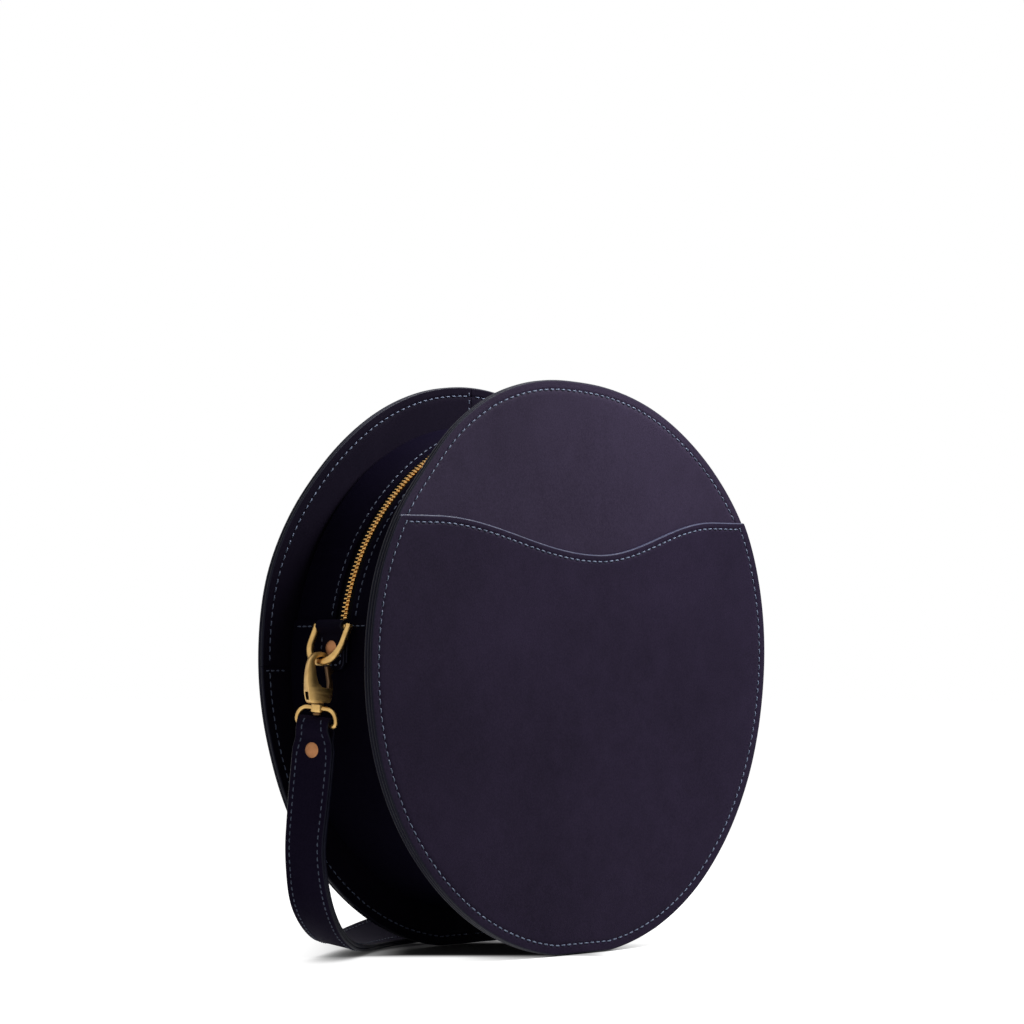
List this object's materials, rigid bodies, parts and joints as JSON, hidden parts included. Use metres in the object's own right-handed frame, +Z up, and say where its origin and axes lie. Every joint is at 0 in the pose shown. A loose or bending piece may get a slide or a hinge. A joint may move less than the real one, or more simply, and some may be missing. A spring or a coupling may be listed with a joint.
{
  "type": "round shoulder bag",
  "caption": "Round leather shoulder bag with a zipped drum body, a slip pocket in front and a clip-on strap on swivel snap hooks.",
  "frame": {"origin": "middle of the box's bottom, on the floor", "axes": "+X to the right as the bag is faced, +Y to the back, through its depth, +Z up"},
  "size_m": [0.244, 0.1435, 0.2392],
  "materials": {
    "panel_leather": "smooth, low sheen",
    "drum_leather": "smooth, low sheen",
    "strap_leather": "smooth, low sheen",
    "zip_cloth": "woven tape",
    "zip_brass": "polished",
    "fittings_brass": "satin, antique",
    "copper_rivets": "satin, copper coloured",
    "spring_steel": "drawn wire"
  },
  "bodies": {
    "bag": {"front_panel": "panel_leather", "front_pocket": "panel_leather", "front_flange": "panel_leather", "back_flange": "panel_leather", "back_panel": "panel_leather", "gusset": "drum_leather", "zip_strip_front": "drum_leather", "zip_strip_back": "drum_leather", "zip_tape_front": "zip_cloth", "zip_tape_back": "zip_cloth", "zip_teeth_front": "zip_brass", "zip_teeth_back": "zip_brass", "zip_stops": "zip_brass", "ring_tab_left": "strap_leather", "ring_tab_right": "strap_leather", "tab_rivet_left": "copper_rivets", "tab_rivet_right": "copper_rivets", "strap": "strap_leather"},
    "zip_slider": {"zip_slider": "fittings_brass"},
    "zip_pull": {"zip_pull": "fittings_brass"},
    "d_ring_left": {"d_ring_left": "fittings_brass"},
    "strap_hanger_left": {"swivel_eye_left": "fittings_brass", "strap_end_left": "strap_leather", "strap_rivet_left": "copper_rivets"},
    "hook_left": {"snap_hook_left": "fittings_brass", "swivel_pin_left": "fittings_brass", "gate_pin_left": "fittings_brass", "gate_spring_left": "spring_steel"},
    "hook_gate_left": {"hook_gate_left": "fittings_brass"},
    "d_ring_right": {"d_ring_right": "fittings_brass"},
    "strap_hanger_right": {"swivel_eye_right": "fittings_brass", "strap_end_right": "strap_leather", "strap_rivet_right": "copper_rivets"},
    "hook_right": {"snap_hook_right": "fittings_brass", "swivel_pin_right": "fittings_brass", "gate_pin_right": "fittings_brass", "gate_spring_right": "spring_steel"},
    "hook_gate_right": {"hook_gate_right": "fittings_brass"}
  },
  "joints": [
    {"name": "zip_slide", "type": "hinge", "parent": "bag", "child": "zip_slider", "pos_m": [0, -0.03575, 0.11918], "axis": [0, -1, 0], "range_deg": [0, 150.4], "deforming": ["zip_teeth_front", "zip_teeth_back", "zip_tape_front", "zip_tape_back"]},
    {"name": "pull_flip", "type": "hinge", "parent": "zip_slider", "child": "zip_pull", "pos_m": [0.10233, -0.03575, 0.14624], "axis": [0, -1, 0], "range_deg": [0, 116]},
    {"name": "strap_swing_left", "type": "hinge", "parent": "bag", "child": "strap_hanger_left", "pos_m": [-0.10697, -0.03575, 0.13517], "axis": [0, 1, 0], "range_deg": [0, 30]},
    {"name": "ring_swing_left", "type": "hinge", "parent": "bag", "child": "d_ring_left", "pos_m": [-0.10697, -0.03575, 0.13517], "axis": [0, 1, 0], "range_deg": [0, 30]},
    {"name": "hook_turn_left", "type": "hinge", "parent": "strap_hanger_left", "child": "hook_left", "pos_m": [-0.115, -0.03575, 0.103], "axis": [0, 0, 1], "range_deg": [-12, 12]},
    {"name": "gate_open_left", "type": "hinge", "parent": "hook_left", "child": "hook_gate_left", "pos_m": [-0.11044, -0.03697, 0.10733], "axis": [-0.2588, -0.9659, 0], "range_deg": [0, 20], "stiffness_Nm_per_rad": 0.02, "springref_deg": -20.05},
    {"name": "strap_swing_right", "type": "hinge", "parent": "bag", "child": "strap_hanger_right", "pos_m": [0.10697, -0.03575, 0.13517], "axis": [0, -1, 0], "range_deg": [0, 30]},
    {"name": "ring_swing_right", "type": "hinge", "parent": "bag", "child": "d_ring_right", "pos_m": [0.10697, -0.03575, 0.13517], "axis": [0, -1, 0], "range_deg": [0, 30]},
    {"name": "hook_turn_right", "type": "hinge", "parent": "strap_hanger_right", "child": "hook_right", "pos_m": [0.115, -0.03575, 0.103], "axis": [0, 0, 1], "range_deg": [-12, 12]},
    {"name": "gate_open_right", "type": "hinge", "parent": "hook_right", "child": "hook_gate_right", "pos_m": [0.11044, -0.03697, 0.10733], "axis": [-0.2588, 0.9659, 0], "range_deg": [0, 20], "stiffness_Nm_per_rad": 0.02, "springref_deg": -20.05}
  ],
  "couplings": [
    {"joint": "ring_swing_left", "follows": "strap_swing_left", "ratio": 1},
    {"joint": "ring_swing_right", "follows": "strap_swing_right", "ratio": 1}
  ]
}
